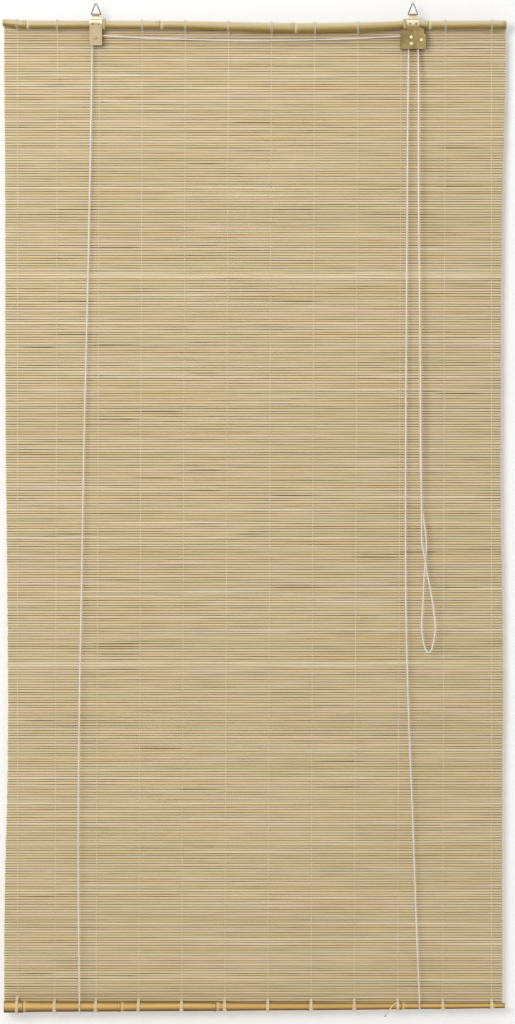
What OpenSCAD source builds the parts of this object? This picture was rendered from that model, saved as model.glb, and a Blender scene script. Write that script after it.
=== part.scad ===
// Bamboo roll-up blind. A mat of split bamboo hangs between two canes, and a looped cord
// that runs over a pulley and through a cord lock rolls it up from the bottom.
// The blind faces -Y, Z is up, and the origin lies midway between the two hanging rings,
// at the height of the hook inside them.

/* [Blind] */
// Length of both canes
rail_length = 800; // [600:10:1200]
// Width of the mat
mat_width = 792; // [590:2:1190]
// From the axis of the top cane down to the axis of the bottom cane
drop = 1562; // [1200:1:2200]
// Distance between the two hanging rings
ring_spacing = 504; // [400:2:560]

/* [Splint mat] */
// Mean width of a splint
splint_pitch = 4.07; // [3.6:0.01:6]
// How much the splints differ in width, as a share
splint_spread = 0.14; // [0:0.01:0.2]
// Thickness of a splint
mat_t = 2; // [1.6:0.1:3]
// Thickness left between two splints
web_t = 0.6; // [0.5:0.1:0.8]
// Width of the slope on each edge of a splint
splint_edge = 0.7; // [0.4:0.1:1]
// How much the ends of the splints differ
ragged = 2; // [0.5:0.1:4]
// How far each side of the mat draws in towards the bottom
mat_draw = 3; // [0:0.5:6]
// Splints in a band that was cut together
band_rows = 24; // [12:1:40]
// Number of open slits between splints
slit_count = 72; // [0:1:90]
// Height of an open slit
slit_h = 0.9; // [0.5:0.1:1.2]

/* [Warp threads and lashings] */
// Number of warp threads across the mat
warp_count = 12; // [6:1:16]
// From the mat's side edge to the outer warp thread
warp_margin = 18.5; // [10:0.5:40]
// How far the inner warp threads are drawn to the left
warp_draw = 7; // [0:0.5:10]
// How much further left the foot of an inner warp thread lies
warp_lean = 6; // [0:0.5:8]
// Width of a warp thread
warp_w = 1; // [0.6:0.1:2]
// Thickness of a warp thread
warp_t = 0.5; // [0.3:0.1:1]
// Width of a lashing
lash_w = 3; // [2:0.1:5]
// Thickness of a lashing
lash_t = 0.8; // [0.5:0.1:1.2]
// Thickness of the loose thread end
tail_d = 2; // [0.6:0.1:2.4]

/* [Top cane] */
// Diameter at the brackets
rail_d = 12.8; // [10:0.2:20]
// Extra radius in the thick stretch
rail_swell = 1.4; // [0:0.1:3]
// How far the cane bows down in the thick stretch
rail_bow = 5; // [0:0.5:10]
// Place of the thick stretch along the cane
swell_x = 65; // [0:5:70]
// Half length of the thick stretch
swell_span = 105; // [60:5:105]
// How far the left end turns up
end_rise = 3.4; // [0:0.1:5]
// How much thinner the left end is
end_taper = 0.9; // [0:0.1:1.5]
// Length of the turned-up left end
end_span = 24; // [10:1:40]
// From the left end to the first cane joint
rail_knot_first = 35; // [20:1:60]
// Distance between the cane joints
rail_knot_pitch = 213; // [120:1:240]
// Gap between the cane and the mat
rail_standoff = 3; // [2.8:0.1:5]

/* [Bottom cane] */
// Diameter in the middle
bottom_d = 13.2; // [10:0.2:20]
// Radius lost from the middle to the right end
bottom_taper = 2.2; // [0:0.1:2.5]
// From the left end to the first cane joint
bottom_knot_first = 30; // [20:1:60]
// Distance between the first two cane joints
bottom_knot_pitch = 155; // [100:1:240]
// How much shorter each next distance is
bottom_knot_step = 3; // [0:0.5:4]
// Gap between the cane and the mat
bottom_standoff = 0.4; // [0.3:0.1:2]

/* [Cane joints] */
// Height of the ridge at a cane joint
knot_rise = 0.7; // [0:0.1:1.2]
// Half length of the ridge
knot_span = 2.2; // [1.5:0.1:3]
// Wall of the hollow cane
cane_wall = 2.4; // [1.5:0.1:3]
// Depth of the hollow at the cane's ends
hollow_depth = 20; // [5:1:30]

/* [Hanging rings] */
// Wire of the ring
ring_wire = 1.8; // [1.4:0.1:2.4]
// Width of the ring between the axes of its lower corners
ring_w = 14.8; // [12:0.2:20]
// Height inside the ring
ring_h = 15.5; // [12:0.5:22]
// Bend radius of the lower corners
ring_corner = 1.4; // [1.2:0.1:2]
// Bend radius of the tip
ring_tip = 1.8; // [1.4:0.1:3]

/* [Brackets] */
// Thickness of the sheet
sheet_t = 0.8; // [0.6:0.1:1.2]
// Gap between the saddle and the cane
saddle_gap = 0.3; // [0.2:0.1:0.6]
// How far the crown stands above the cane
crown_rise = 1.5; // [1:0.1:4]
// From the top of the crown up to the ring's bar
neck_h = 6.6; // [5:0.1:10]
// Width of the neck
neck_w = 11.4; // [8:0.1:11.5]
// Running clearance of the ring's bar and of the pulleys
run_gap = 0.06; // [0.02:0.01:0.1]
// Width of the left bracket
plate_w = 20; // [16:0.5:23]
// Plate below the left axle
plate_tail = 11.6; // [9:0.1:16]
// Corner radius of the left plate
plate_corner = 2.5; // [1:0.1:4]
// Half distance between the two nails
nail_x = 4.8; // [3:0.1:6]
// Nail shank
nail_d = 1.3; // [1:0.1:2]
// Nail head
nail_head_d = 3; // [2.4:0.1:4]
// Depth of a nail past the axis of the cane
nail_reach = 2; // [0:0.1:4]

/* [Pulleys] */
// Radius of the cord's path on the left pulley
left_path_r = 5.8; // [5:0.1:8]
// From the cane down to the left pulley's rim
left_pulley_gap = 9.3; // [4:0.1:14]
// Left axle
left_axle_d = 3; // [2:0.1:4]
// Radius of the cord's path on the lock's pulley
lock_path_r = 4.2; // [4:0.1:6]
// From the cane down to the lock pulley's rim
lock_pulley_gap = 9.4; // [7:0.1:14]
// Flange beside a groove
flange_t = 0.9; // [0.6:0.1:1.4]

/* [Cord lock] */
// Width of the strap over the cane
strap_w = 20.7; // [16:0.1:23]
// Width of the lock's body
lock_w = 40; // [38:0.5:46]
// Top of the body above the lock pulley's axle
lock_top = 11.7; // [8:0.1:11.9]
// Bottom of the body below the lock pulley's axle
lock_bottom = 18.8; // [17:0.1:26]
// The pulley's axle, left of the middle of the strap
lock_axle_x = 2.8; // [0:0.1:4]
// The cam's axle, right of the pulley's axle
cam_x = 16; // [15:0.1:18]
// The cam's axle below the pulley's axle
cam_drop = 4.4; // [2:0.1:5]
// The spacer below the pulley's axle
spacer_drop = 10.5; // [9.5:0.1:14]
// Diameter of the spacer
spacer_d = 5.6; // [4:0.1:7]
// Rivets of the lock
lock_rivet_d = 2.6; // [2:0.1:3]
// Reach of the cam's teeth
cam_r = 9; // [7:0.1:9.2]
// Hub of the cam
cam_hub_d = 6.4; // [5:0.1:8]
// Half angle of the toothed end
cam_spread = 16; // [10:1:18]
// Height of a tooth
tooth_h = 0.8; // [0.4:0.1:1.2]
// Number of teeth
tooth_count = 5; // [3:1:7]
// Width of the cam
cam_t = 9; // [6:0.1:11]
// Diameter of the rivet heads
rivet_head_d = 5; // [4.2:0.1:6]
// Height of the rivet heads
rivet_head_h = 1.1; // [0.6:0.1:1.6]
// Thickness of the rivets' turned-over ends
rivet_tail_h = 0.7; // [0.4:0.1:1]

/* [Cord] */
// Diameter of the cord
cord_d = 2.4; // [2:0.1:2.8]
// Clearance of a cord to what it passes
cord_gap = 0.4; // [0.3:0.1:0.6]
// Sag of the cord between the pulley and the lock
cross_sag = 8; // [0:0.5:15]

/* [Hidden] */
$fn = 48;

clear = 0.3;
lash_gap = 0.25;
cord_r = cord_d / 2;
rail_r = rail_d / 2;
bracket_x = ring_spacing / 2;
saddle_in = rail_r + saddle_gap;
saddle_out = saddle_in + sheet_t;
eye_in = ring_wire / 2 + run_gap;
eye_out = eye_in + sheet_t;
eye_up = crown_rise + saddle_out + neck_h;
eye_z = -(ring_h + ring_wire / 2);
rail_z = eye_z - eye_up;
bottom_z = rail_z - drop;

mat_front = rail_r + rail_standoff;
mat_y = mat_front + mat_t / 2;
mat_back = mat_front + mat_t;
mat_top = rail_z;
splint_count = floor((drop - 1) / splint_pitch);
bands = ceil(splint_count / band_rows);

left_rim_r = left_path_r + cord_r;
left_drop = rail_r + left_pulley_gap + left_rim_r;
left_z = rail_z - left_drop;
left_leg = left_drop + plate_tail;
lock_rim_r = lock_path_r + cord_r;
lock_drop = rail_r + lock_pulley_gap + lock_rim_r;
lock_z = rail_z - lock_drop;
lock_leg = lock_drop + lock_bottom;
lock_x = bracket_x - lock_axle_x;
groove_half = cord_r + cord_gap;
strand_y = groove_half + 0.4;

// Splints differ by a rule that never repeats over the mat's height.
function uneven(i) = sin(i * 137.5);
function splint_w(i) = splint_pitch * (1 + splint_spread * uneven(i));
valleys = [for (i = 0, z = mat_top; i <= splint_count; z = z - splint_w(i), i = i + 1) z];
function share(v) = v - floor(v);

// The top cane: its radius, height and depth at a place along it.
function hump(x) = exp(-pow((x - swell_x) / swell_span, 2));
function left_end(x) = exp(-pow((x + rail_length / 2) / end_span, 2));
function top_r(x) = rail_r + rail_swell * hump(x) - end_taper * left_end(x);
function top_z(x) = rail_z - rail_bow * hump(x) + end_rise * left_end(x);
function top_y(x) = rail_r - top_r(x);

// The bottom cane.
function bottom_r(x) = bottom_d / 2 - bottom_taper * 2 * x / rail_length;
function bottom_y(x) = mat_front - bottom_standoff - bottom_r(x);

function knots(first, pitch, step = 0) = let (end = rail_length / 2)
    [for (i = [0 : 20]) let (x = first - end + pitch * i - step * i * (i - 1) / 2) if (x < end - 12) x];
top_knots = knots(rail_knot_first, rail_knot_pitch);
bottom_knots = knots(bottom_knot_first, bottom_knot_pitch, bottom_knot_step);
function ridge(x, list) = knot_rise * max([for (k = list) exp(-pow((x - k) / knot_span, 2))]);

function lash_ridge(x, list) = max([for (d = [-0.5 : 0.1 : 0.5]) ridge(x + d * lash_w, list)]);

// Places of the rings of a cane: even steps between its joints, and three on each joint.
function cane_steps(list) = [for (i = [0 : len(list)])
    let (a = i == 0 ? -rail_length / 2 : list[i - 1] + 2.5 * knot_span)
    let (b = i == len(list) ? rail_length / 2 : list[i] - 2.5 * knot_span)
    each concat([for (s = [0 : 0.25 : 1]) a + (b - a) * s],
        i == len(list) ? [] : [list[i] - knot_span, list[i], list[i] + knot_span])];

// Warp threads: their places across the mat, at its top edge, at its foot and at a height between.
function warp_x(k, draw) = let (t = 2 * k / (warp_count - 1) - 1)
    t * (mat_width / 2 - warp_margin) - draw * (1 - pow(t, 6));
warps = [for (k = [0 : warp_count - 1]) warp_x(k, warp_draw)];
feet = [for (k = [0 : warp_count - 1]) warp_x(k, warp_draw + warp_lean)];
function thread_x(k, z) = warps[k]
    + (feet[k] - warps[k]) * (z - valleys[0]) / (valleys[splint_count] - valleys[0]);
function top_row(x) = min([for (i = [1 : 20]) if (valleys[i] < top_z(x) - top_r(x) - knot_rise - 1.2) i]);
function bottom_row(x) = max([for (i = [splint_count - 20 : splint_count - 1])
    if (valleys[i] > bottom_z + bottom_r(x) + knot_rise + 1.2) i]);
function under_left(x) = abs(x + bracket_x) < plate_w / 2 + lash_w / 2 + 1;
function under_lock(x) = abs(x - bracket_x) < lock_w / 2 + lash_w / 2 + 1;
top_lash_x = [for (x = warps) if (!under_left(x) && !under_lock(x)) x];

// Sweeps: rings of points along a path, closed by a cap at each end.
function unit(v) = v / norm(v);
function heading(p, i) = unit(p[min(i + 1, len(p) - 1)] - p[max(i - 1, 0)]);
function tube_ring(c, t, side, r, n) = let (u = unit(side - (side * t) * t), v = cross(t, u))
    [for (k = [0 : n - 1]) c + r * (cos(360 * k / n) * u + sin(360 * k / n) * v)];
function skin_faces(m, n) = concat(
    [[for (k = [0 : n - 1]) k]],
    [for (i = [0 : m - 2], k = [0 : n - 1]) let (j = (k + 1) % n) each
        [[i * n + k, (i + 1) * n + k, i * n + j], [i * n + j, (i + 1) * n + k, (i + 1) * n + j]]],
    [[for (k = [n - 1 : -1 : 0]) (m - 1) * n + k]]);

module sweep(path, side, d, n) {
    polyhedron(points = [for (i = [0 : len(path) - 1]) each
            tube_ring(path[i], heading(path, i), side, d / 2, n)],
        faces = skin_faces(len(path), n), convexity = 10);
}

module tube(path, side, d) {
    sweep(path, side, d, 8);
}

module cane(steps, centres, radii) {
    polyhedron(points = [for (i = [0 : len(steps) - 1]) each
            tube_ring([steps[i], centres[i][0], centres[i][1]], [1, 0, 0], [0, 1, 0], radii[i], 20)],
        faces = skin_faces(len(steps), 20), convexity = 4);
}

module across(w) {
    rotate([90, 0, 90]) linear_extrude(height = w, center = true) children();
}

module along_y(depth) {
    rotate([90, 0, 0]) linear_extrude(height = depth, center = true) children();
}

module pin_y(d, y0, y1) {
    translate([0, y0, 0]) rotate([-90, 0, 0]) cylinder(d = d, h = y1 - y0);
}

// A spherical cap on the face at y = 0, looking to the front.
module dome(d, h) {
    ball = (d * d / 4 + h * h) / (2 * h);
    rotate([90, 0, 0]) rotate_extrude() intersection() {
        translate([0, h - ball]) circle(r = ball);
        square([d / 2, h]);
    }
}

module rivet(d, front, back) {
    pin_y(d, front, back);
    translate([0, front, 0]) dome(rivet_head_d, rivet_head_h);
    pin_y(rivet_head_d * 0.8, back, back + rivet_tail_h);
}

module hollow_end(x, y, z, r) {
    turn = x < 0 ? 90 : -90;
    translate([x, y, z]) rotate([0, turn, 0]) translate([0, 0, -1])
        cylinder(r = r - cane_wall, h = hollow_depth + 1);
}

module top_rail() {
    steps = cane_steps(top_knots);
    end = rail_length / 2;
    color([0.72, 0.64, 0.44]) difference() {
        cane(steps, [for (x = steps) [top_y(x), top_z(x)]], [for (x = steps) top_r(x) + ridge(x, top_knots)]);
        hollow_end(-end, top_y(-end), top_z(-end), top_r(-end));
        hollow_end(end, top_y(end), top_z(end), top_r(end));
        for (s = [-1, 1], n = [-1, 1])
            translate([s * bracket_x + n * nail_x, 0, rail_z]) pin_y(nail_d, -saddle_out - 5, nail_reach);
    }
}

// A band of splints that were cut together, so their ends line up.
module band(b) {
    i0 = b * band_rows;
    i1 = min(splint_count, i0 + band_rows);
    x0 = -mat_width / 2 + ragged * share(b * 0.38) + mat_draw * b / bands;
    x1 = mat_width / 2 - ragged * share(b * 0.71 + 0.4) - mat_draw * b / bands;
    front = [for (i = [i0 : i1 - 1]) each [
        [mat_y - web_t / 2, valleys[i]],
        [mat_front, valleys[i] - splint_edge],
        [mat_front, valleys[i + 1] + splint_edge]]];
    back = [for (i = [i1 - 1 : -1 : i0]) each [
        [mat_y + web_t / 2, valleys[i + 1]],
        [mat_back, valleys[i + 1] + splint_edge],
        [mat_back, valleys[i] - splint_edge]]];
    translate([(x0 + x1) / 2, 0, 0]) across(x1 - x0) polygon(concat(front,
        [[mat_y - web_t / 2, valleys[i1]]], back, [[mat_y + web_t / 2, valleys[i0]]]));
}

module mat() {
    color([0.78, 0.69, 0.5]) difference() {
        union() {
            for (b = [0 : bands - 1]) band(b);
        }
        for (x = top_lash_x) lash_slot(x, valleys[top_row(x)]);
        for (x = feet) lash_slot(x, valleys[bottom_row(x)]);
        for (k = [0 : 1 : slit_count - 1]) slit(k);
    }
}

module lash_slot(x, z) {
    translate([x, mat_y, z]) cube([lash_w + 2 * clear, 2 * mat_t, lash_t + 2 * clear], center = true);
}

module slit(k) {
    row = 16 + floor((splint_count - 32) * share(k * 0.618034 + 0.3));
    bay = floor((warp_count - 1) * share(k * 0.754878));
    left = thread_x(bay, valleys[row]);
    room = thread_x(bay + 1, valleys[row]) - left - 2 * (lash_w + clear);
    reach = room * (0.5 + 0.5 * share(k * 0.569841));
    start = left + lash_w + clear + (room - reach) * share(k * 0.414214);
    translate([start, mat_front - 1, valleys[row] - slit_h / 2])
        cube([reach, mat_t + 2, slit_h]);
}

module warp_threads() {
    half = warp_w / 2;
    color([0.93, 0.91, 0.86]) for (k = [0 : warp_count - 1]) {
        high = valleys[top_row(warps[k])] - lash_t / 2 - clear;
        low = valleys[bottom_row(feet[k])] + lash_t / 2 + clear;
        a = thread_x(k, high);
        b = thread_x(k, low);
        for (y = [mat_front, mat_back + warp_t]) translate([0, y, 0]) rotate([90, 0, 0])
            linear_extrude(warp_t) polygon([[b - half, low], [b + half, low], [a + half, high], [a - half, high]]);
    }
}

// A lashing: round the cane, behind the edge of the mat and through a slot between two splints.
// up is 1 where the slot lies below the cane, and -1 where it lies above.
module lash(x, y, z, r, slot, up) {
    inner = r + lash_gap;
    outer = inner + lash_t;
    back = mat_back + clear / 2;
    half = lash_t / 2;
    arc = [for (a = [90 : 15 : 270]) [cos(a), up * sin(a)]];
    translate([x, 0, 0]) across(lash_w) difference() {
        polygon(concat([for (p = arc) [y, z] + outer * p],
            [[mat_front - clear, slot - up * half], [back + lash_t, slot - up * half],
                [back + lash_t, z + up * outer]]));
        polygon(concat([for (p = arc) [y, z] + inner * p],
            [[mat_front - clear, slot + up * half], [back, slot + up * half], [back, z + up * inner]]));
    }
}

module top_lashings() {
    color([0.95, 0.94, 0.9]) for (x = top_lash_x)
        lash(x, top_y(x), top_z(x), top_r(x) + lash_ridge(x, top_knots), valleys[top_row(x)], 1);
}

module bottom_lashings() {
    color([0.95, 0.94, 0.9]) for (x = feet)
        lash(x, bottom_y(x), bottom_z, bottom_r(x) + lash_ridge(x, bottom_knots), valleys[bottom_row(x)], -1);
    color([0.93, 0.88, 0.66]) thread_end();
}

// The loose end of one lashing's thread, which hangs below the cane.
module thread_end() {
    x = feet[warp_count - 3];
    r = bottom_r(x) + lash_ridge(x, bottom_knots) + lash_gap + max(lash_t, tail_d) / 2;
    start = [x - lash_w / 2, bottom_y(x) - r * cos(20), bottom_z + r * sin(20)];
    tube([for (p = tail_run) start + p], [0, 1, 0], tail_d);
}

// The folded sheet seen from the side: eye, neck, saddle over the cane and two legs.
module saddle_side(leg) {
    difference() {
        union() {
            translate([0, crown_rise]) circle(r = saddle_out);
            translate([-saddle_out, -leg]) square([2 * saddle_out, leg + crown_rise]);
            translate([0, eye_up]) circle(r = eye_out);
            translate([-sheet_t, 0]) square([2 * sheet_t, eye_up]);
        }
        translate([0, crown_rise]) circle(r = saddle_in);
        translate([-saddle_in, -leg - 1]) square([2 * saddle_in, leg + 1 + crown_rise]);
        translate([0, eye_up]) circle(r = eye_in);
    }
}

module nail_holes() {
    for (n = [-1, 1]) translate([n * nail_x, 0, 0]) pin_y(nail_d, -saddle_out - 5, 0);
}

// The left bracket's outline from the front: neck, shoulders and plate with rounded lower corners.
module plate_front() {
    half = plate_w / 2;
    root = crown_rise + saddle_out;
    waist = neck_w / 2;
    right = [for (a = [0 : 15 : 90])
        [half - plate_corner * (1 - cos(a)), -left_leg + plate_corner * (1 - sin(a))]];
    left = [for (a = [90 : -15 : 0])
        [-half + plate_corner * (1 - cos(a)), -left_leg + plate_corner * (1 - sin(a))]];
    polygon(concat([[-half, root - sheet_t], [-waist, root + neck_h / 2], [-waist, eye_up + eye_out + 1],
        [waist, eye_up + eye_out + 1], [waist, root + neck_h / 2], [half, root - sheet_t]], right, left));
}

module left_bracket() {
    color([0.8, 0.72, 0.52]) translate([-bracket_x, 0, rail_z]) difference() {
        intersection() {
            across(plate_w + 2) saddle_side(left_leg);
            along_y(4 * saddle_out) plate_front();
        }
        translate([0, 0, -left_drop]) pin_y(left_axle_d, -2 * saddle_out, 2 * saddle_out);
        nail_holes();
    }
}

module bracket_nails() {
    color([0.45, 0.42, 0.36]) for (s = [-1, 1], n = [-1, 1])
            translate([s * bracket_x + n * nail_x, 0, rail_z]) {
        pin_y(nail_d, -saddle_out, nail_reach);
        translate([0, -saddle_out, 0]) dome(nail_head_d, 0.7);
    }
}

module left_axle() {
    color([0.82, 0.76, 0.6]) translate([-bracket_x, 0, left_z]) rivet(left_axle_d, -saddle_out, saddle_out);
}

// Half of a pulley's section beside a groove: radius, then distance along the axle.
function groove(c, path_r) = let (floor_r = path_r - cord_r - cord_gap, rim_r = path_r + cord_r)
    [[rim_r, c - groove_half - 0.1], [floor_r, c - groove_half],
        [floor_r, c + groove_half], [rim_r, c + groove_half + 0.1]];

module pulley(axle_d, path_r, places) {
    rim_r = path_r + cord_r;
    side = max(places) + groove_half + 0.1 + flange_t;
    hub_r = axle_d / 2 + 1;
    hub = saddle_in - clear;
    bore = axle_d / 2 + run_gap;
    rotate([90, 0, 0]) rotate_extrude() polygon(concat(
        [[bore, -hub], [hub_r, -hub], [hub_r, -side], [rim_r, -side]],
        [for (c = places) each groove(c, path_r)],
        [[rim_r, side], [hub_r, side], [hub_r, hub], [bore, hub]]));
}

module left_pulley() {
    color([0.9, 0.88, 0.8]) translate([-bracket_x, 0, left_z]) pulley(left_axle_d, left_path_r, [0]);
}

module lock_pulley() {
    color([0.9, 0.88, 0.8]) translate([lock_x, 0, lock_z])
        pulley(lock_rivet_d, lock_path_r, [-strand_y, strand_y]);
}

// A triangle of wire with rounded corners: the bar lies in the bracket's eye, the hook in the tip.
module ring() {
    tip = [0, ring_wire / 2 - ring_tip];
    foot = [ring_w / 2 - ring_corner, eye_z + ring_corner];
    lean = atan2(foot[1] - tip[1], foot[0] - tip[0]) + acos((ring_tip - ring_corner) / norm(foot - tip));
    bend = concat([[foot[0] - 1, 0, eye_z]],
        wrap(foot[0], 0, foot[1], ring_corner, -90, lean, 6),
        wrap(0, 0, tip[1], ring_tip, lean, 180 - lean, 8),
        wrap(-foot[0], 0, foot[1], ring_corner, 180 - lean, 270, 6),
        [[1 - foot[0], 0, eye_z]]);
    sweep(bend, [0, 1, 0], ring_wire - 0.04, 12);
    translate([-foot[0], 0, eye_z]) rotate([0, 90, 0]) cylinder(d = ring_wire, h = 2 * foot[0]);
}

module left_ring() {
    color([0.62, 0.62, 0.6]) translate([-bracket_x, 0, 0]) ring();
}

module right_ring() {
    color([0.62, 0.62, 0.6]) translate([bracket_x, 0, 0]) ring();
}

// The lock's outline from the front: neck, strap, sloping right shoulder and body.
module lock_front() {
    side = lock_w / 2;
    half = strap_w / 2;
    top = lock_top - lock_drop;
    low = -lock_leg;
    root = crown_rise + saddle_out;
    waist = neck_w / 2;
    polygon([[-waist, eye_up + eye_out + 1], [waist, eye_up + eye_out + 1], [waist, root + neck_h / 2],
        [half, root - sheet_t], [half, top + 5], [side - 3, top + 1], [side - 3, top - 5], [side, top - 8],
        [side, low + 2], [side - 2, low], [-side + 1, low], [-side, low + 1], [-side, top], [-half, top],
        [-half, root - sheet_t], [-waist, root + neck_h / 2]]);
}

module lock_holes(clearance) {
    for (p = rivet_places) translate([p[0], 0, p[1]])
        pin_y(lock_rivet_d + clearance, -2 * saddle_out, 2 * saddle_out);
}

module lock_housing() {
    color([0.66, 0.58, 0.4]) translate([bracket_x, 0, rail_z]) difference() {
        intersection() {
            across(lock_w + 2) saddle_side(lock_leg);
            along_y(4 * saddle_out) lock_front();
        }
        lock_holes(0);
        nail_holes();
    }
}

// A second plate covers the left part of the body, and two of the rivets hold it.
module lock_face() {
    side = lock_w / 2;
    top = lock_top - lock_drop;
    a = rivet_places[0];
    color([0.62, 0.54, 0.37]) translate([bracket_x, -saddle_out - sheet_t / 2, rail_z]) difference() {
        along_y(sheet_t) polygon([[-side, top - 0.2], [a[0] + 1.6, top - 0.2], [a[0] + 1.6, a[1] + 3.8],
            [a[0] + 3.8, a[1] + 1.8], [a[0] + 3.8, a[1] - 2.2], [a[0] + 7.4, a[1] - 8.8],
            [a[0] + 7.4, -lock_leg], [-side + 1, -lock_leg], [-side, -lock_leg + 1]]);
        lock_holes(0);
    }
}

module lock_rivets() {
    color([0.9, 0.86, 0.72]) for (i = [0 : 2]) {
        front = i == 1 ? -saddle_out : -saddle_out - sheet_t;
        translate([bracket_x + rivet_places[i][0], 0, rail_z + rivet_places[i][1]])
            rivet(lock_rivet_d, front, saddle_out);
    }
}

module lock_spacer() {
    p = rivet_places[2];
    color([0.7, 0.64, 0.5]) translate([bracket_x + p[0], 0, rail_z + p[1]]) difference() {
        pin_y(spacer_d, -saddle_in, saddle_in);
        pin_y(lock_rivet_d, -saddle_out, saddle_out);
    }
}

// The cam hangs from its rivet beside the cords, with teeth across its lower end.
module lock_cam() {
    p = rivet_places[1];
    hub_r = cam_hub_d / 2;
    step = 2 * cam_spread / (2 * tooth_count);
    teeth = [for (i = [0 : 2 * tooth_count])
        let (a = cam_spread - i * step, r = i % 2 == 0 ? cam_r - tooth_h : cam_r)
        [-r * sin(a), -r * cos(a)]];
    color([0.78, 0.74, 0.62]) translate([bracket_x + p[0], 0, rail_z + p[1]]) difference() {
        union() {
            along_y(cam_t) polygon(concat([[-hub_r * 0.9, 0]], teeth, [[hub_r * 0.9, 0]]));
            pin_y(cam_hub_d, -saddle_in + clear, saddle_in - clear);
        }
        pin_y(lock_rivet_d + 2 * run_gap, -saddle_out, saddle_out);
    }
}

// Places of the lock's rivets from the strap's middle and the cane's axis: pulley, cam, spacer.
rivet_places = [[-lock_axle_x, -lock_drop], [cam_x - lock_axle_x, -lock_drop - cam_drop],
    [-lock_axle_x, -lock_drop - spacer_drop]];

// Routes of the cords. The front runs are steps to the side at shares of the way down.
left_run = [[0, 0], [-2.5, 0.1], [-7, 0.25], [-12.5, 0.4], [-16.5, 0.55], [-20.5, 0.7], [-22, 0.85],
    [-20, 1]];
right_run = [[0, 0], [-1.5, 0.1], [-3, 0.25], [-4.5, 0.4], [-5, 0.5], [-4, 0.6], [0, 0.7], [6, 0.8],
    [11.5, 0.9], [17.5, 1]];
tail_run = [[0, 0, 0], [-6, -1, -1], [-14, -2.5, -8], [-20, -3, -16], [-25, -3, -22]];
// The pull loop from the strap's middle and the cane's axis: down its front strand and up its back strand.
pull_down = [[8, -2.4, -41], [8.2, -4.5, -58], [8.3, -8.6, -96], [8.6, -8.6, -280], [11, -8.6, -520],
    [13, -8.6, -756], [14, -8.6, -824], [19, -8.6, -852], [22, -8.6, -872], [29, -8.6, -908],
    [33.5, -8.6, -940], [35, -8.6, -960], [32, -8.6, -982], [28, -8, -996], [24.5, -7, -999]];
pull_up = [[21, -6, -996], [16, -5.8, -980], [13.5, -5.8, -956], [15, -5.8, -930], [16.5, -5.8, -900],
    [18, -5.8, -870], [19.5, -5.8, -850], [21, -5.8, -824], [13.5, -5.8, -756], [11, -5.8, -520],
    [8.6, -5.8, -280], [8.3, -5.5, -96], [8.2, 0, -58], [8, 1.8, -41]];

left_cord_x = -bracket_x - left_path_r;
right_cord_x = lock_x - lock_path_r;
left_sling_x = left_cord_x + left_run[len(left_run) - 1][0];
right_sling_x = right_cord_x + right_run[len(right_run) - 1][0];
back_y = mat_back + warp_t + clear + cord_r;
function sling_r(x) = bottom_r(x) + cord_r + cord_gap;
stub = 0.6;

// The angle on the lock's pulley where the pull strands leave it for the way out.
way_out = [pull_down[0][0] + lock_axle_x, pull_down[0][2] + lock_drop];
leave = atan2(way_out[1], way_out[0]) + acos(lock_path_r / norm(way_out));

function wrap(x, y, z, r, from, to, n) = [for (i = [0 : n]) let (a = from + (to - from) * i / n)
    [x + r * cos(a), y, z + r * sin(a)]];
function front_run(run, x, y, z) = let (end = x + run[len(run) - 1][0])
    let (high = z - stub - clear, low = bottom_z + stub + clear)
    [for (p = run) [x + p[0], y + (bottom_y(end) - sling_r(end) - y) * p[1], high + (low - high) * p[1]]];

module left_front_cord() {
    color([0.95, 0.94, 0.92]) tube(front_run(left_run, left_cord_x, 0, left_z), [0, 1, 0], cord_d);
}

module right_front_cord() {
    color([0.95, 0.94, 0.92]) tube(front_run(right_run, right_cord_x, -strand_y, lock_z), [0, 1, 0], cord_d);
}

module cross_cord() {
    from = [-bracket_x, 0, left_z + left_path_r];
    to = [lock_x, strand_y, lock_z + lock_path_r];
    span = [for (s = [0.04, 0.14, 0.3, 0.5, 0.7, 0.86, 0.96])
        from + (to - from) * s - [0, 0, 4 * cross_sag * s * (1 - s)]];
    color([0.95, 0.94, 0.92]) tube(concat([[left_cord_x, 0, left_z - stub]],
        wrap(-bracket_x, 0, left_z, left_path_r, 180, 90, 4), span, [to]), [0, 1, 0], cord_d);
}

module pull_cord() {
    hang = [bracket_x, 0, rail_z];
    color([0.95, 0.94, 0.92]) tube(concat([[right_cord_x, -strand_y, lock_z - stub]],
        wrap(lock_x, -strand_y, lock_z, lock_path_r, 180, leave, 7),
        [for (p = pull_down) hang + p], [for (p = pull_up) hang + p],
        wrap(lock_x, strand_y, lock_z, lock_path_r, leave, 80, 3)), [0, 1, 0], cord_d);
}

// One and a half turns round the top cane beside the bracket, then over the mat's top edge.
module tie(x, way) {
    step = cord_d + clear;
    r = top_r(x) + cord_gap + cord_r;
    turns = [for (a = [240 : -30 : -270])
        [x + way * step * (240 - a) / 510, top_y(x) + r * cos(a), top_z(x) + r * sin(a)]];
    over = [[5.2, 7.6], [9.4, 5.4], [12.4, 2], [back_y, -3], [back_y, -8]];
    tube(concat(turns, [for (p = over) [x + way * step, p[0], rail_z + p[1]]]), [1, 0, 0], cord_d);
}

left_tie_x = -bracket_x + plate_w / 2 + cord_r + 0.5;
right_tie_x = bracket_x - strap_w / 2 - cord_r - 0.5;

module cord_ties() {
    color([0.95, 0.94, 0.92]) {
        tie(left_tie_x, 1);
        tie(right_tie_x, -1);
    }
}

module back_cord(from, to) {
    high = rail_z - 8 - clear;
    low = bottom_z + stub + clear;
    color([0.95, 0.94, 0.92]) tube([for (s = [0, 0.5, 1])
            [from + (to - from) * s, back_y, high + (low - high) * s]], [0, 1, 0], cord_d);
}

module left_back_cord() {
    back_cord(left_tie_x + cord_d + clear, left_sling_x);
}

module right_back_cord() {
    back_cord(right_tie_x - cord_d - clear, right_sling_x);
}

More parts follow.
